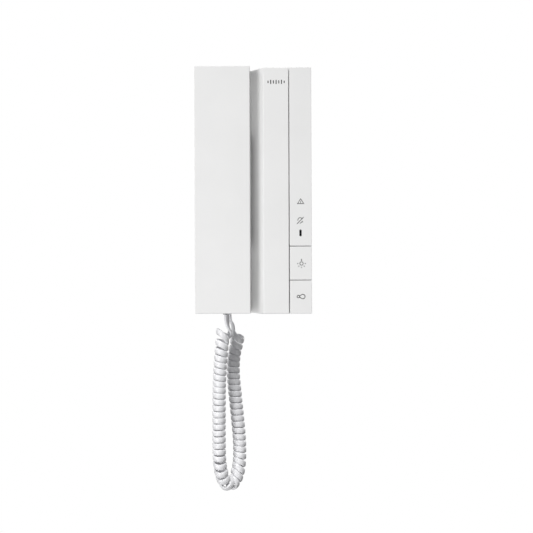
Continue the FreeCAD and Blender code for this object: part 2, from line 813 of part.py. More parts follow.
def handset_front_shell():
    """The large flat front of the handset with its sides."""
    body = new_body("handset_front_shell")
    x = ("handset_left", "handset_left + handset_width")
    corners = (
        ("handset_front", end_height("handset_front")),
        ("shell_joint", end_height("shell_joint")),
        ("shell_joint", end_height("shell_joint", "-")),
        ("handset_front", end_height("handset_front", "-")),
    )
    slab_from_side(body, x, corners)
    front = -doc.Sizes.handset_front
    round_edges(body, "edge_round", lambda a, b: along(1)(a, b) or is_corner(a, b))
    round_edges(body, "edge_round", on_plane(1, front))
    round_edges(body, "joint_round", on_plane(1, -doc.Sizes.shell_joint))
    inner_x = (f"{x[0]} + wall", f"{x[1]} - wall")
    inner_z = ("-body_height / 2 + wall + end_draft", "body_height / 2 - wall - end_draft")
    box(body, inner_x, ("shell_joint - 1", "handset_front - wall"), inner_z, cut=True)
    posts = (("handset_middle", "36"), ("handset_middle", "-36"))
    rods(body, posts, "6", ("shell_joint", "handset_front - wall + 0.5"))
    rods(body, posts, "2.2", ("shell_joint - 1", "32"), cut=True)
    mouth = ("-body_height / 2 - 1", "-body_height / 2 + wall + 2")
    cut_plug_mouth(body, "handset_exit_x", "handset_exit_depth", mouth)
    return body


def is_corner(a, b):
    """True for the four leaning edges at the handset's corners."""
    return abs(a.x - b.x) < 0.01 and abs(a.y - b.y) > 5 and abs(a.z - b.z) < 2


def handset_rear_shell():
    """The back of the handset: thick ear and mouth ends, a thin grip and the cradle's windows."""
    body = new_body("handset_rear_shell")
    x = ("handset_left", "handset_left + handset_width")
    outer = rear_outline("handset_rear", "grip_rear", "land_start", "grip_half")
    slab_from_side(body, x, outer)
    round_edges(body, "edge_round", lambda a, b: along(1)(a, b) or is_corner(a, b))
    round_edges(body, "joint_round", on_plane(1, -doc.Sizes.shell_joint))
    inner_end = "body_height / 2 - wall - end_draft"
    floor = "handset_rear + wall"
    grip = "grip_rear + wall"
    inner = (
        ("shell_joint + 1", inner_end),
        (floor, inner_end),
        (floor, "land_start + 1"),
        (grip, "grip_half + 1"),
        (grip, "-(grip_half + 1)"),
        (floor, "-(land_start + 1)"),
        (floor, f"-({inner_end})"),
        ("shell_joint + 1", f"-({inner_end})"),
    )
    slab_from_side(body, (f"{x[0]} + wall", f"{x[1]} - wall"), inner, cut=True)
    for foot in ("upper_lug", "lower_lug"):
        window = ("lug_left - lug_play", "lug_left + lug_width + lug_play")
        slab_from_side(body, window, lug_corners(foot, "lug_play"), cut=True)
    cut_sound_holes(body)
    screws = (("handset_middle", "36"), ("handset_middle", "-36"))
    through = ("grip_rear - 1", "shell_joint + 1")
    rods(body, screws, "2.8", through, cut=True)
    rods(body, screws, "5", ("grip_rear - 1", "grip_rear + 1"), cut=True)
    for place in (("-32.5", "-98"), ("-12.5", "-98")):
        rods(body, (place,), "3", (floor, "23"))
    return body


def rear_outline(rear, grip, land, thin):
    joint = "shell_joint"
    return (
        (joint, end_height(joint)),
        (rear, end_height(rear)),
        (rear, land),
        (grip, thin),
        (grip, f"-{thin}"),
        (rear, f"-{land}"),
        (rear, end_height(rear, "-")),
        (joint, end_height(joint, "-")),
    )


def cut_sound_holes(body):
    """Rings of small holes over the earpiece and three over the microphone."""
    through = ("handset_rear - 1", "handset_rear + wall + 1")
    sketch = sketch_on(body, "front", through[1])
    circle(sketch, "handset_middle", "ear_height", "1.8")
    for radius, count in ((4, 6), (8, 12)):
        for step in range(count):
            angle = 360 / count * step
            across = f"handset_middle + {radius} * cos({angle} deg)"
            circle(sketch, across, f"ear_height + {radius} * sin({angle} deg)", "1.8")
    extrude(body, sketch, span(*through), cut=True)
    holes = [(f"handset_middle + {shift}", "mouth_height") for shift in (-3, 0, 3)]
    rods(body, holes, "1.5", through, cut=True)


def handset_screws():
    group = []
    for number, z in enumerate(("36", "-36"), start=1):
        screw = new_body(f"handset_screw_{number}")
        place = (("handset_middle", z),)
        rods(screw, place, "4.6", ("grip_rear + 0.1", "grip_rear + 1"))
        rods(screw, place, "2.4", ("grip_rear + 1", "31"))
        slot = ("grip_rear - 1", "grip_rear + 0.6")
        cut_x = ("handset_middle - 1.5", "handset_middle + 1.5")
        box(screw, cut_x, slot, (f"{z} - 0.3", f"{z} + 0.3"), cut=True)
        group.append(screw)
    return gather("handset_screws", group)


def receiver_capsule():
    """The earpiece transducer, a stepped round can."""
    body = new_body("receiver_capsule")
    place = (("handset_middle", "ear_height"),)
    floor = "handset_rear + wall"
    rods(body, place, "receiver_diameter", (f"{floor} + 1.2", f"{floor} + 5"))
    rods(body, place, "receiver_diameter - 10", (f"{floor} + 5", f"{floor} + 8"))
    rods(body, place, "receiver_diameter - 12", (floor, f"{floor} + 2"), cut=True)
    return body


def receiver_gasket():
    body = new_body("receiver_gasket")
    place = (("handset_middle", "ear_height"),)
    floor = "handset_rear + wall"
    rods(body, place, "receiver_diameter + 1", (floor, f"{floor} + 1.2"))
    rods(body, place, "receiver_diameter - 8", ("handset_rear", "shell_joint"), cut=True)
    return body


def microphone_capsule():
    body = new_body("microphone_capsule")
    place = (("handset_middle", "mouth_height"),)
    floor = "handset_rear + wall"
    rods(body, place, "mouth_diameter", (f"{floor} + 1.2", f"{floor} + 6"))
    return body


def microphone_boot():
    """The rubber cup that seals the microphone to the shell."""
    body = new_body("microphone_boot")
    place = (("handset_middle", "mouth_height"),)
    floor = "handset_rear + wall"
    rods(body, place, "mouth_diameter + 3", (floor, f"{floor} + 5.4"))
    rods(body, place, "mouth_diameter", (f"{floor} + 1.2", f"{floor} + 7"), cut=True)
    rods(body, place, "8", (f"{floor} - 1", f"{floor} + 2"), cut=True)
    return body


def handset_board():
    """The small board that carries the handset's jack."""
    body = new_body("handset_board")
    box(body, ("-34.5", "-10.5"), ("23", "24.2"), ("-99.6", "-84.6"))
    return body


# --- connectors and cord ---------------------------------------------------------------------


def cord_jack(name, x, depth):
    """A modular jack, open at its lower end."""
    body = new_body(name)
    half_width = "jack_width / 2"
    half_height = "jack_height / 2"
    across = (f"{x} - {half_width}", f"{x} + {half_width}")
    box(body, across, (f"{depth} - {half_height}", f"{depth} + {half_height}"), ("jack_bottom", "jack_top"))
    cut_plug_mouth(body, x, depth, ("jack_bottom - 1", "jack_top - 2"))
    return body


def cord_plug(name, x, depth):
    """A modular plug with its latch and the short moulded boot that the cord comes out of."""
    body = new_body(name)
    half_width = "plug_width / 2"
    half_height = "plug_height / 2"
    front = f"{depth} + {half_height}"
    across = (f"{x} - {half_width}", f"{x} + {half_width}")
    box(body, across, (f"{depth} - {half_height}", front), ("jack_bottom - 0.4", "jack_top - 2.6"))
    contacts = ("jack_top - 6", "jack_top - 2")
    for lane in (-1.5, -0.5, 0.5, 1.5):
        centre = f"{x} + {1.27 * lane}"
        groove = (f"{centre} - 0.3", f"{centre} + 0.3")
        box(body, groove, (f"{front} - 0.7", f"{front} + 1"), contacts, cut=True)
    boot_z = ("cord_exit_z", "jack_bottom - 0.4")
    boot_x = (f"{x} - (cord_width / 2 + 0.5)", f"{x} + cord_width / 2 + 0.5")
    box(body, boot_x, (f"{depth} - 2.2", f"{depth} + 2.2"), boot_z)
    return body


def cord_pieces():
    sheet = doc.Sizes
    return [
        tube("base_cord_lead", BASE_LEAD, sheet.cord_width),
        tube("cord_coil", COIL, sheet.coil_diameter),
        tube("handset_cord_lead", HANDSET_LEAD, sheet.cord_width),
    ]


def inner_wires():
    return [
        tube("receiver_wire", RECEIVER_WIRE, WIRE_DIAMETER),
        tube("microphone_wire", MOUTH_WIRE, WIRE_DIAMETER),
        tube("sounder_wire", SOUNDER_WIRE, WIRE_DIAMETER),
        tube("hook_wire", HOOK_WIRE, WIRE_DIAMETER),
    ]


def cover_screw():
    body = new_body("cover_screw")
    x = "cover_screw_x"
    depth = "cover_screw_depth"
    head_z = ("-body_height / 2 + 0.1", "-body_height / 2 + 1")
    upright_rod(body, x, depth, "5.4", head_z)
    upright_rod(body, x, depth, "2.5", (head_z[1], "-body_height / 2 + 11"))
    slot_x = (f"{x} - 2", f"{x} + 2")
    slot_z = ("-body_height / 2 - 1", "-body_height / 2 + 0.5")
    box(body, slot_x, (f"{depth} - 0.35", f"{depth} + 0.35"), slot_z, cut=True)
    return body


def build():
    make_sheet()
    return [
        wall_plate(),
        front_cover(),
        cover_screw(),
        side_panel(),
        light_button(),
        switch_stem("light_switch_stem", "light_height"),
        door_button(),
        switch_stem("door_switch_stem", "door_height"),
        key_switch("light_switch", "light_height"),
        key_switch("door_switch", "door_height"),
        indicator_window(),
        indicator_led(),
        circuit_board(),
        board_screws(),
        terminal_block(),
        terminal_screws(),
        board_capacitors(),
        control_chip(),
        call_sounder(),
        sounder_gasket(),
        hook_switch(),
        hook_spring(),
        hook_plunger(),
        handset_front_shell(),
        handset_rear_shell(),
        handset_screws(),
        receiver_capsule(),
        receiver_gasket(),
        microphone_capsule(),
        microphone_boot(),
        handset_board(),
        cord_jack("base_cord_jack", "base_exit_x", "base_exit_depth"),
        cord_plug("base_cord_plug", "base_exit_x", "base_exit_depth"),
        cord_jack("handset_cord_jack", "handset_exit_x", "handset_exit_depth"),
        cord_plug("handset_cord_plug", "handset_exit_x", "handset_exit_depth"),
        *cord_pieces(),
        *inner_wires(),
    ]


def check(pieces):
    """Stops the build if anything in the document failed or a piece has no sound shape."""
    for thing in doc.Objects:
        if "Invalid" in thing.State or "Error" in thing.State:
            raise SystemExit(f"{thing.Name} failed: {thing.State}")
    for piece in pieces:
        if piece.Shape.isNull() or not piece.Shape.isValid() or piece.Shape.Volume <= 0:
            raise SystemExit(f"{piece.Label} has no valid shape")


def write(pieces):
    os.makedirs("parts", exist_ok=True)
    for piece in pieces:
        piece.Shape.exportStep(f"parts/{piece.Label}.step")
        print(f"{piece.Label}: {len(piece.Shape.Solids)} solid(s), {piece.Shape.Volume:.0f} cubic mm")


pieces = build()
doc.recompute()
check(pieces)
write(pieces)
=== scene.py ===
import math
from bisect import bisect

import bmesh
import bpy
from mathutils import Matrix, Vector


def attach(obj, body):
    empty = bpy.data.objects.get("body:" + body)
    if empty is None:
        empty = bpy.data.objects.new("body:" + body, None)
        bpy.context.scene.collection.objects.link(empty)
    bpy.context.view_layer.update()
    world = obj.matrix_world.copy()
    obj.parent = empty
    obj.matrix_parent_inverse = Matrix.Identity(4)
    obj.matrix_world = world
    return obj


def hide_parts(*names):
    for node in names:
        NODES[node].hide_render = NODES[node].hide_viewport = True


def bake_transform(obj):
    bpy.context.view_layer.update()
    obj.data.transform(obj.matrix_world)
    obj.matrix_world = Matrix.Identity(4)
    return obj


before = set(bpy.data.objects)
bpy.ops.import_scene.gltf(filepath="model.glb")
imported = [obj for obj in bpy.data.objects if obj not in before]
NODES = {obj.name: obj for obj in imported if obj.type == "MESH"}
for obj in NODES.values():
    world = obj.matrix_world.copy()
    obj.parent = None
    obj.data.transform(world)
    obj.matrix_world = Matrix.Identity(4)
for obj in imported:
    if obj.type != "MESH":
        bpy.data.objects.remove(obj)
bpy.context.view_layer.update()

# A slim white door-entry handset on a wall. Metres, X right, Z up, and the wall is the plane Y = 0,
# so a depth is a distance out from the wall and Y = -depth.
MM = 0.001
TAU = 2 * math.pi


# ---------------------------------------------------------------------------------------- materials

def new_material(name):
    """A node material and its Principled shader."""
    material = bpy.data.materials.new(name)
    material.use_nodes = True
    return material, material.node_tree, material.node_tree.nodes["Principled BSDF"]


def noise(tree, scale, detail=2.0, stretch=(1, 1, 1)):
    """Noise laid out in the object's own metres; stretch makes it finer along an axis."""
    place = tree.nodes.new("ShaderNodeTexCoord")
    mapping = tree.nodes.new("ShaderNodeMapping")
    texture = tree.nodes.new("ShaderNodeTexNoise")
    mapping.inputs["Scale"].default_value = stretch
    texture.inputs["Scale"].default_value = scale
    texture.inputs["Detail"].default_value = detail
    tree.links.new(place.outputs["Object"], mapping.inputs["Vector"])
    tree.links.new(mapping.outputs["Vector"], texture.inputs["Vector"])
    return texture.outputs["Fac"]


def tones(tree, shader, height, low, high):
    """Colours the surface from low to high as the height socket goes from about 0.35 to 0.65."""
    ramp = tree.nodes.new("ShaderNodeValToRGB")
    ramp.color_ramp.elements[0].position = 0.35
    ramp.color_ramp.elements[1].position = 0.65
    ramp.color_ramp.elements[0].color = (*low, 1)
    ramp.color_ramp.elements[1].color = (*high, 1)
    tree.links.new(height, ramp.inputs["Fac"])
    tree.links.new(ramp.outputs["Color"], shader.inputs["Base Color"])


def gloss(tree, shader, height, low, high):
    """Varies the roughness between low and high."""
    spread = tree.nodes.new("ShaderNodeMapRange")
    spread.inputs["From Min"].default_value = 0.3
    spread.inputs["From Max"].default_value = 0.7
    spread.inputs["To Min"].default_value = low
    spread.inputs["To Max"].default_value = high
    tree.links.new(height, spread.inputs["Value"])
    tree.links.new(spread.outputs["Result"], shader.inputs["Roughness"])


def relief(tree, shader, heights, depth):
    """Bumps the surface by the heights, one bump after another, each depth metres high."""
    normal = None
    for height, strength in heights:
        bump = tree.nodes.new("ShaderNodeBump")
        bump.inputs["Strength"].default_value = strength
        bump.inputs["Distance"].default_value = depth
        tree.links.new(height, bump.inputs["Height"])
        if normal:
            tree.links.new(normal, bump.inputs["Normal"])
        normal = bump.outputs["Normal"]
    tree.links.new(normal, shader.inputs["Normal"])


def moulded(name, colour, roughness, grain=2600, depth=0.00002, drift=0.02):
    """Moulded plastic: a fine spark-eroded grain, a faint drift of colour and of gloss."""
    material, tree, shader = new_material(name)
    faded = tuple(part * (1 - drift) for part in colour)
    tones(tree, shader, noise(tree, 28, 3), faded, colour)
    gloss(tree, shader, noise(tree, 70, 3), roughness - 0.03, roughness + 0.04)
    relief(tree, shader, ((noise(tree, grain, 3), 0.35), (noise(tree, 110, 2), 0.08)), depth)
    shader.inputs["IOR"].default_value = 1.49
    return material


def cable_jacket(name, colour):
    """Satin cable jacket: a faint mottle of colour and of gloss over fine bumps."""
    material, tree, shader = new_material(name)
    faded = tuple(part * 0.96 for part in colour)
    tones(tree, shader, noise(tree, 160, 3), faded, colour)
    gloss(tree, shader, noise(tree, 420, 2), 0.30, 0.42)
    relief(tree, shader, ((noise(tree, 1500, 2), 0.25), (noise(tree, 260, 2), 0.15)), 0.00003)
    shader.inputs["IOR"].default_value = 1.52
    return material


def metal(name, colour, roughness, stretch):
    """Brushed or drawn metal: fine lines along one direction."""
    material, tree, shader = new_material(name)
    worn = tuple(part * 0.82 for part in colour)
    tones(tree, shader, noise(tree, 900, 2, stretch), worn, colour)
    gloss(tree, shader, noise(tree, 700, 2, stretch), roughness - 0.08, roughness + 0.08)
    relief(tree, shader, ((noise(tree, 1400, 2, stretch), 0.3),), 0.00002)
    shader.inputs["Metallic"].default_value = 1.0
    return material


def lens(name, colour, roughness):
    """Tinted lens: clear gloss over a deep colour, with a faint moulded swirl."""
    material, tree, shader = new_material(name)
    deep = tuple(part * 0.6 for part in colour)
    tones(tree, shader, noise(tree, 300, 2), deep, colour)
    gloss(tree, shader, noise(tree, 500, 2), roughness, roughness + 0.05)
    relief(tree, shader, ((noise(tree, 420, 2), 0.1),), 0.00002)
    shader.inputs["Specular IOR Level"].default_value = 0.25
    return material


def clear_plastic(name):
    """Clear polycarbonate of the cord's connectors."""
    material, tree, shader = new_material(name)
    tones(tree, shader, noise(tree, 240, 2), (0.80, 0.82, 0.84), (0.88, 0.90, 0.92))
    gloss(tree, shader, noise(tree, 380, 2), 0.06, 0.14)
    relief(tree, shader, ((noise(tree, 500, 2), 0.12),), 0.00002)
    shader.inputs["Transmission Weight"].default_value = 0.7
    shader.inputs["IOR"].default_value = 1.58
    return material


def circuit_material(name):
    """Green solder mask with paler copper lines under it."""
    material, tree, shader = new_material(name)
    tones(tree, shader, noise(tree, 420, 1, (1, 1, 6)), (0.015, 0.11, 0.05), (0.05, 0.24, 0.11))
    gloss(tree, shader, noise(tree, 600, 2), 0.22, 0.34)
    relief(tree, shader, ((noise(tree, 420, 1, (1, 1, 6)), 0.4),), 0.00005)
    return material


MATERIALS = {
    "shell_white": moulded("shell_white", (0.90, 0.90, 0.897), 0.46),
    "key_white": moulded("key_white", (0.90, 0.90, 0.897), 0.44, grain=3000),
    "plate_white": moulded("plate_white", (0.74, 0.74, 0.73), 0.55, grain=1700, depth=0.00003),
    "cord_white": cable_jacket("cord_white", (0.91, 0.91, 0.93)),
    "plug_clear": clear_plastic("plug_clear"),
    "black_plastic": moulded("black_plastic", (0.03, 0.03, 0.032), 0.5, grain=1900, drift=0.3),
    "smoked_lens": lens("smoked_lens", (0.012, 0.012, 0.014), 0.12),
    "lamp_lens": lens("lamp_lens", (0.60, 0.08, 0.06), 0.15),
    "board_green": circuit_material("board_green"),
    "screw_steel": metal("screw_steel", (0.62, 0.62, 0.63), 0.34, (1, 1, 8)),
    "terminal_green": moulded("terminal_green", (0.08, 0.34, 0.16), 0.42, grain=1600, drift=0.1),
    "can_aluminium": metal("can_aluminium", (0.72, 0.72, 0.73), 0.28, (6, 6, 1)),
    "gasket_rubber": moulded("gasket_rubber", (0.05, 0.05, 0.05), 0.8, grain=900, drift=0.2),
    "stem_plastic": moulded("stem_plastic", (0.58, 0.58, 0.55), 0.38, grain=1500, drift=0.05),
    "wire_red": moulded("wire_red", (0.50, 0.05, 0.04), 0.4, grain=1200, drift=0.15),
    "print_grey": moulded("print_grey", (0.055, 0.055, 0.058), 0.6, grain=2200, drift=0.25),
}
FINISHES = {
    "shell_white": ("front_cover", "handset_front_shell", "handset_rear_shell"),
    "key_white": ("side_panel", "light_button", "door_button"),
    "plate_white": ("wall_plate",),
    "plug_clear": ("base_cord_plug", "handset_cord_plug"),
    "black_plastic": ("base_cord_jack", "handset_cord_jack", "hook_plunger", "light_switch",
                      "door_switch", "hook_switch", "control_chip", "call_sounder"),
    "smoked_lens": ("indicator_window",),
    "lamp_lens": ("indicator_led",),
    "board_green": ("circuit_board", "handset_board"),
    "screw_steel": ("board_screws", "cover_screw", "handset_screws", "terminal_screws",
                    "hook_spring"),
    "terminal_green": ("terminal_block",),
    "can_aluminium": ("board_capacitors", "microphone_capsule", "receiver_capsule"),
    "gasket_rubber": ("receiver_gasket", "sounder_gasket", "microphone_boot"),
    "stem_plastic": ("light_switch_stem", "door_switch_stem"),
    "wire_red": ("receiver_wire", "microphone_wire", "sounder_wire", "hook_wire"),
    "cord_white": ("cord_coil", "base_cord_lead", "handset_cord_lead"),
}


def finish_nodes():
    """Gives every CAD node its procedural material."""
    for slot, names in FINISHES.items():
        for name in names:
            NODES[name].data.materials.clear()
            NODES[name].data.materials.append(MATERIALS[slot])


# ---------------------------------------------------------------------------------- building pieces

def piece(name, mesh, slot):
    """A new object of this mesh with the slot's material."""
    mesh.materials.append(MATERIALS[slot])
    made = bpy.data.objects.new(name, mesh)
    bpy.context.scene.collection.objects.link(made)
    return made


# ---------------------------------------------------------------------------------------- the cord

# The route's control points, in millimetres as (X, Y, Z): down from the base, along the coil, which
# turns at the bottom and rises in front of itself, and up into the handset.
BASE_LEAD = (
    (-20.3, -7.6, -103.4),
    (-20.3, -7.6, -108.4),
    (-17.6, -7.8, -113.6),
    (-14.4, -8.0, -118.4),
    (-13.1, -8.0, -124.3),
)
COIL = (
    (-13.1, -8.0, -124.3),
    (-14.7, -8.0, -130.0),
    (-17.1, -7.9, -139.0),
    (-17.9, -7.9, -153.0),
    (-16.4, -8.4, -170.0),
    (-14.3, -9.0, -190.0),
    (-12.3, -9.7, -212.0),
    (-12.35, -10.2, -230.0),
    (-14.5, -12.0, -240.6),
    (-17.9, -15.0, -247.7),
    (-23.3, -19.6, -247.7),
    (-26.8, -22.5, -240.6),
    (-29.0, -24.4, -229.0),
    (-29.3, -25.4, -214.0),
    (-29.2, -26.3, -193.0),
    (-28.9, -27.6, -161.0),
    (-27.2, -28.1, -135.0),
    (-25.5, -28.3, -118.5),
)
HANDSET_LEAD = (
    (-25.5, -28.3, -118.5),
    (-24.6, -28.7, -113.6),
    (-22.4, -29.5, -108.4),
    (-22.4, -29.5, -103.4),
)
# The handset's lead swings out past the coil's end before it turns in to meet it.
SWING = (
    (-21.4, -28.0, -113.5),
    (-19.2, -25.8, -118.5),
)
CORD_WIDTH = 4.9 * MM
CORD_THICKNESS = 2.6 * MM
# From the coil's middle line to the middle of the cable.
COIL_RADIUS = 4.35 * MM
# Where the first turn starts, as an angle round the coil, and the side that the last turn ends on.
START_PHASE = math.radians(200)
END_SIDE = Vector((0.5, 0.87, 0))
# How far a lead runs straight on where it meets the coil.
BASE_REACH = 2.6 * MM
HANDSET_REACH = 3.6 * MM
STEPS_PER_TURN = 28
SECTION_POINTS = 18
SPLINE_STEPS = 48


def metres(points):
    return [Vector(point) * MM for point in points]


def spline_points(points):
    """Points read from Blender's own NURBS curve with these control points."""
    data = bpy.data.curves.new("route", "CURVE")
    data.dimensions = "3D"
    data.resolution_u = SPLINE_STEPS
    spline = data.splines.new("NURBS")
    spline.points.add(len(points) - 1)
    for point, place in zip(spline.points, points):
        point.co = (*place, 1)
    spline.order_u = 3
    spline.use_endpoint_u = True
    curve = bpy.data.objects.new("route", data)
    mesh = bpy.data.meshes.new_from_object(curve)
    found = [vertex.co.copy() for vertex in mesh.vertices]
    bpy.data.meshes.remove(mesh)
    bpy.data.objects.remove(curve)
    return found


def travelled(points):
    """The distance from the first point to each point."""
    total = [0.0]
    for before, after in zip(points, points[1:]):
        total.append(total[-1] + (after - before).length)
    return total


def directions(points):
    """The direction of travel at each point."""
    last = len(points) - 1
    return [(points[min(i + 1, last)] - points[max(i - 1, 0)]).normalized() for i in range(last + 1)]


def carried(side, headings):
    """A side direction carried along the headings without twisting."""
    found = []
    for heading in headings:
        side = (side - side.dot(heading) * heading).normalized()
        found.append(side)
    return found


class Axis:
    """The coil's middle line: a place, a heading and a side direction at any distance along it."""

    def __init__(self, points):
        self.points = points
        self.total = travelled(points)
        self.headings = directions(points)
        self.sides = carried(Vector((1, 0, 0)), self.headings)
        self.length = self.total[-1]
        lowest = min(range(len(points)), key=lambda i: points[i].z)
        self.fold = self.total[lowest]

    def at(self, distance):
        i = min(max(bisect(self.total, distance), 1), len(self.points) - 1)
        share = (distance - self.total[i - 1]) / (self.total[i] - self.total[i - 1])
        place = self.points[i - 1].lerp(self.points[i], share)
        heading = self.headings[i - 1].lerp(self.headings[i], share).normalized()
        side = self.sides[i - 1].lerp(self.sides[i], share)
        side = (side - side.dot(heading) * heading).normalized()
        return place, heading, side


def hump(value, middle, width):
    """1 at the middle, falling smoothly to nothing about two widths away."""
    return math.exp(-((value - middle) / width) ** 2)


def pitch_at(axis, distance):
    """The distance from one turn to the next: close, but open at the fold and at the handset's end."""
    closed = 5.15 * MM
    open_fold = 1.5 * MM * hump(distance, axis.fold + 4 * MM, 22 * MM)
    open_handset = 1.0 * MM * hump(distance, axis.length, 14 * MM)
    last_gap = 1.5 * MM * hump(distance, axis.length - 6 * MM, 4 * MM)
    uneven = 0.14 * MM * math.sin(distance / (3.9 * MM)) + 0.1 * MM * math.sin(distance / (9.1 * MM))
    return closed + open_fold + open_handset + last_gap + uneven


def lean_at(axis, distance, outward):
    """How far up a turn leans on its back, and on its left, at this distance along the coil."""
    past_fold = distance - axis.fold
    raised_back = 0.75 * hump(distance, 0, 6 * MM)
    backward = 0.4 * hump(past_fold, 16 * MM, 11 * MM) - 0.5 * hump(distance, axis.length, 10 * MM)
    leftward = (0.35 * hump(distance, 0, 6 * MM)
                - 0.14 * hump(distance, 55 * MM, 45 * MM)
                + 0.3 * hump(past_fold, -15 * MM, 9 * MM)
                - 0.22 * hump(past_fold, 48 * MM, 32 * MM)
                + 0.62 * hump(distance, axis.length, 9 * MM))
    lift = raised_back * (1 + outward.y) + backward * outward.y - leftward * outward.x
    return Vector((0, 0, lift))


def helix(axis, start_phase, scale):
    """The cord's points round the axis, and the phase that it ends at."""
    places = []
    distance = 0.0
    phase = start_phase
    step = TAU / STEPS_PER_TURN
    while distance < axis.length:
        place, heading, side = axis.at(distance)
        back = side.cross(heading)
        outward = math.cos(phase) * side + math.sin(phase) * back
        lean = lean_at(axis, distance, outward)
        places.append((place + COIL_RADIUS * (outward + lean), outward))
        distance += scale * pitch_at(axis, distance) / STEPS_PER_TURN
        phase += step
    return places, phase


def fitted_helix(axis, start_phase, end_side):
    """The helix with its pitch scaled a little, so that it ends on the side that faces end_side."""
    _, heading, side = axis.at(axis.length)
    back = side.cross(heading)
    wanted = math.atan2(back.dot(end_side), side.dot(end_side))
    _, phase = helix(axis, start_phase, 1.0)
    turns = phase - start_phase
    target = wanted - start_phase + TAU * round((phase - wanted) / TAU)
    return helix(axis, start_phase, turns / target)[0]


def led_into(points, end, heading, reach):
    """A lead's spline from its exit to the end point, which it meets along the heading."""
    return spline_points(metres(points) + [end - reach * heading, end])


def twisted(sides, headings, wanted):
    """Turns the carried sides little by little, so that the last one faces wanted."""
    last = sides[-1]
    across = headings[-1].cross(last)
    angle = math.atan2(wanted.dot(across), wanted.dot(last))
    found = []
    for i, (side, heading) in enumerate(zip(sides, headings)):
        share = i / (len(sides) - 1)
        turn = Matrix.Rotation(angle * share * share * (3 - 2 * share), 3, heading)
        found.append(turn @ side)
    return found


def section(width, thickness):
    """The flat cord's outline: an oval with full sides, as (across the width, across the thickness)."""
    fullness = 2 / 2.7
    outline = []
    for i in range(SECTION_POINTS):
        turn = TAU * i / SECTION_POINTS
        across, through = math.cos(turn), math.sin(turn)
        outline.append((
            math.copysign(abs(across) ** fullness, across) * width / 2,
            math.copysign(abs(through) ** fullness, through) * thickness / 2,
        ))
    return outline


def tube(name, centres, wides):
    """A closed tube of the cord's section along the centres, with its width along wides."""
    headings = directions(centres)
    outline = section(CORD_WIDTH, CORD_THICKNESS)
    mesh = bpy.data.meshes.new(name)
    build = bmesh.new()
    rings = []
    for centre, heading, wide in zip(centres, headings, wides):
        wide = (wide - wide.dot(heading) * heading).normalized()
        thin = heading.cross(wide)
        rings.append([build.verts.new(centre + a * wide + b * thin) for a, b in outline])
    for before, after in zip(rings, rings[1:]):
        for i in range(SECTION_POINTS):
            j = (i + 1) % SECTION_POINTS
            build.faces.new((before[i], before[j], after[j], after[i]))
    build.faces.new(rings[0][::-1])
    build.faces.new(rings[-1])
    bmesh.ops.recalc_face_normals(build, faces=build.faces)
    build.to_mesh(mesh)
    build.free()
    mesh.shade_smooth()
    return mesh


def cord():
    """The curly cord: a flat cable wound round its route, with a short straight lead at each end."""
    axis = Axis(spline_points(metres(COIL)))
    turns = fitted_helix(axis, START_PHASE, END_SIDE)
    coil = [place for place, _ in turns]
    headings = directions(coil)
    wides = [heading.cross(outward).normalized() for heading, (_, outward) in zip(headings, turns)]

    first = led_into(BASE_LEAD[:3], coil[0], headings[0], BASE_REACH)
    first_back = first[::-1]
    back_headings = directions(first_back)
    first_wides = twisted(carried(wides[0], back_headings), back_headings, Vector((0, 1, 0)))[::-1]

    last = led_into(HANDSET_LEAD[:1:-1] + SWING, coil[-1], -headings[-1], HANDSET_REACH)[::-1]
    last_headings = directions(last)
    last_wides = twisted(carried(wides[-1], last_headings), last_headings, Vector((0.7, 0.7, 0)))

    centres = first[:-1] + coil + last[1:]
    mesh = tube("curly_cord", centres, first_wides[:-1] + wides + last_wides[1:])
    made = piece("curly_cord", mesh, "cord_white")
    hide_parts("cord_coil", "base_cord_lead", "handset_cord_lead")
    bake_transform(made)


# --------------------------------------------------------------------------------- printed signs

# How far the print stands out of the face, how far it reaches in, and the face's distance from the wall.
INK = 0.04 * MM
SUNK = 0.1 * MM
FACE_DEPTH = 31 * MM


def arc(x, z, across, up, start, end, steps=20):
    """Points of an oval arc round (x, z); the angles are in degrees from +X."""
    angles = [math.radians(start + (end - start) * i / steps) for i in range(steps + 1)]
    return [(x + across * math.cos(a), z + up * math.sin(a)) for a in angles]


def edges_of_line(points, width, closed):
    """The two edges of a drawn line, with mitred corners."""
    count = len(points)
    left, right = [], []
    for i, (x, z) in enumerate(points):
        before = points[i - 1] if closed or i else points[i]
        after = points[(i + 1) % count] if closed or i < count - 1 else points[i]
        into = Vector((x - before[0], z - before[1]))
        out = Vector((after[0] - x, after[1] - z))
        into = (into if into.length else out).normalized()
        out = (out if out.length else into).normalized()
        along = (into + out).normalized()
        reach = width / 2 / max(along.dot(into), 0.5)
        left.append((x - along.y * reach, z + along.x * reach))
        right.append((x + along.y * reach, z - along.x * reach))
    return left, right


def draw_line(build, points, width, closed=False):
    """A thin closed ridge along the points, standing INK proud of the face."""
    left, right = edges_of_line(points, width, closed)
    layers = []
    for depth in (FACE_DEPTH + INK, FACE_DEPTH - SUNK):
        edges = (
            [build.verts.new((x * MM, -depth, z * MM)) for x, z in side]
            for side in (left, right)
        )
        layers.append(list(zip(*edges)))
    front, rear = layers
    count = len(points)
    for i in range(count if closed else count - 1):
        j = (i + 1) % count
        build.faces.new((front[i][0], front[j][0], front[j][1], front[i][1]))
        build.faces.new((rear[i][0], rear[i][1], rear[j][1], rear[j][0]))
        for k in (0, 1):
            build.faces.new((front[i][k], rear[i][k], rear[j][k], front[j][k]))
    if not closed:
        for i in (0, count - 1):
            build.faces.new((front[i][0], front[i][1], rear[i][1], rear[i][0]))


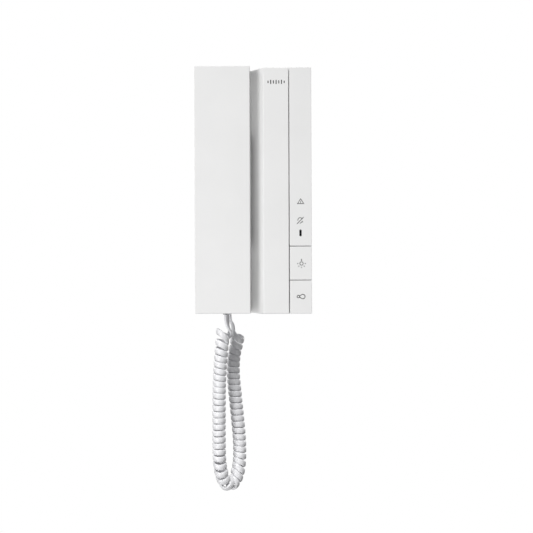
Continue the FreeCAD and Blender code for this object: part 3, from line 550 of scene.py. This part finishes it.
def sign(name, lines, x, z, body):
    """Printed lines round (x, z) on the front face; each line is (points, width, closed)."""
    build = bmesh.new()
    for points, width, closed in lines:
        draw_line(build, [(x + a, z + b) for a, b in points], width, closed)
    bmesh.ops.recalc_face_normals(build, faces=build.faces)
    mesh = bpy.data.meshes.new(name)
    build.to_mesh(mesh)
    build.free()
    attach(piece(name, mesh, "print_grey"), body)


def attention_lines():
    """A triangle with a bar in it."""
    return (
        (((-2.6, -1.8), (2.6, -1.8), (0, 2.3)), 0.5, True),
        (((0, 0.5), (0, -1.5)), 0.42, False),
    )


def crossed_bell_lines():
    """A tilted bell with a stroke through it, beside its open mouth."""
    return (
        (arc(-0.1, 0.4, 1.9, 1.9, 200, 30, 16), 0.5, False),
        (((-2.8, -2.9), (2.8, 2.8)), 0.55, False),
        (((-0.3, -2.6), (1.8, -0.7)), 0.55, False),
        (((1.7, -0.8), (2.3, -1.5)), 0.45, False),
    )


def lamp_lines():
    """A hanging lamp: a short stem, a round bulb and five rays."""
    lines = [
        (arc(0, 0, 1.4, 1.4, 0, 345, 23), 0.52, True),
        (((0, 2.2), (0, 3.8)), 0.75, False),
    ]
    for degrees in (0, 180, 225, 270, 315):
        turn = math.radians(degrees)
        across, up = math.cos(turn), math.sin(turn)
        lines.append((((2.7 * across, 2.7 * up), (3.6 * across, 3.6 * up)), 0.6, False))
    return lines


def key_lines():
    """A key on its side: a round bow that narrows towards a small ring."""
    bow = [(-0.9, 0.5)] + arc(1.75, 0, 1.85, 1.85, 130, -130, 24) + [(-0.9, -0.5)]
    return (
        (bow, 0.62, False),
        (arc(-2.0, 0, 1.05, 1.05, 0, 345, 23), 0.6, True),
    )


def level_lines():
    """A plain row of upright bars, like a sound level."""
    heights = (2.0, 3.4, 2.6, 3.4, 2.6, 3.4, 2.0)
    middle = (len(heights) - 1) / 2
    return [
        (((2.25 * (i - middle), -tall / 2), (2.25 * (i - middle), tall / 2)), 0.85, False)
        for i, tall in enumerate(heights)
    ]


def signs():
    sign("attention_sign", attention_lines(), 39.8, -9.2, "base")
    sign("crossed_bell_sign", crossed_bell_lines(), 39.5, -25.0, "base")
    sign("lamp_sign", lamp_lines(), 40.35, -61.0, "light_key")
    sign("key_sign", key_lines(), 39.6, -88.6, "door_key")
    sign("level_mark", level_lines(), 19.7, 90.8, "base")


# --------------------------------------------------------------------------------------- the stage

def floor():
    """A plain pale floor well below the wall unit."""
    build = bmesh.new()
    bmesh.ops.create_circle(build, cap_ends=True, segments=96, radius=4.4)
    mesh = bpy.data.meshes.new("floor")
    build.to_mesh(mesh)
    build.free()
    material, _, shader = new_material("floor_pale")
    shader.inputs["Base Color"].default_value = (0.9, 0.9, 0.9, 1)
    shader.inputs["Roughness"].default_value = 0.9
    shader.inputs["Emission Color"].default_value = (1, 1, 1, 1)
    shader.inputs["Emission Strength"].default_value = 0.5
    mesh.materials.append(material)
    made = bpy.data.objects.new("floor", mesh)
    made.location = (0, 0, -1.4)
    made.visible_diffuse = False
    made.visible_glossy = False
    bpy.context.scene.collection.objects.link(made)


def softbox(name, place, wide, tall, power):
    """A soft light that faces the object."""
    data = bpy.data.lights.new(name, "AREA")
    data.shape = "RECTANGLE"
    data.size = wide
    data.size_y = tall
    data.energy = power
    lamp = bpy.data.objects.new(name, data)
    lamp.location = place
    lamp.rotation_euler = (Vector((0, 0, -0.06)) - Vector(place)).to_track_quat("-Z", "Y").to_euler()
    lamp.visible_camera = False
    bpy.context.scene.collection.objects.link(lamp)


def surroundings():
    """White to the camera and a soft even grey to the object."""
    world = bpy.data.worlds.new("studio")
    world.use_nodes = True
    tree = world.node_tree
    ambient = tree.nodes["Background"]
    ambient.inputs["Color"].default_value = (1, 1, 1, 1)
    ambient.inputs["Strength"].default_value = 0.13
    seen = tree.nodes.new("ShaderNodeBackground")
    seen.inputs["Color"].default_value = (1, 1, 1, 1)
    seen.inputs["Strength"].default_value = 1.0
    rays = tree.nodes.new("ShaderNodeLightPath")
    mix = tree.nodes.new("ShaderNodeMixShader")
    tree.links.new(rays.outputs["Is Camera Ray"], mix.inputs["Fac"])
    tree.links.new(ambient.outputs["Background"], mix.inputs[1])
    tree.links.new(seen.outputs["Background"], mix.inputs[2])
    tree.links.new(mix.outputs["Shader"], tree.nodes["World Output"].inputs["Surface"])
    bpy.context.scene.world = world
    bpy.context.scene.view_settings.view_transform = "Standard"


def camera():
    """Straight at the front, a metre away and about level with the lower end of the handset."""
    data = bpy.data.cameras.new("camera")
    data.sensor_width = 36
    data.lens = 80.85
    made = bpy.data.objects.new("camera", data)
    made.location = (0.0111, -1.031, -0.0634)
    made.rotation_euler = (math.radians(90), math.radians(0.22), 0)
    bpy.context.scene.collection.objects.link(made)
    bpy.context.scene.camera = made


def stage():
    floor()
    softbox("key_light", (-0.88, -1.3, -0.28), 0.7, 1.1, 12.6)
    softbox("top_light", (0.28, -1.2, 2.9), 0.9, 1.2, 75)
    softbox("low_light", (-0.4, -0.75, -0.75), 0.6, 0.6, 2.9)
    softbox("left_rear_light", (-0.9, 0.9, 0.5), 0.8, 0.8, 8)
    softbox("right_rear_light", (0.9, 0.9, 0.3), 0.8, 0.8, 8)
    surroundings()
    camera()


finish_nodes()
cord()
signs()
stage()
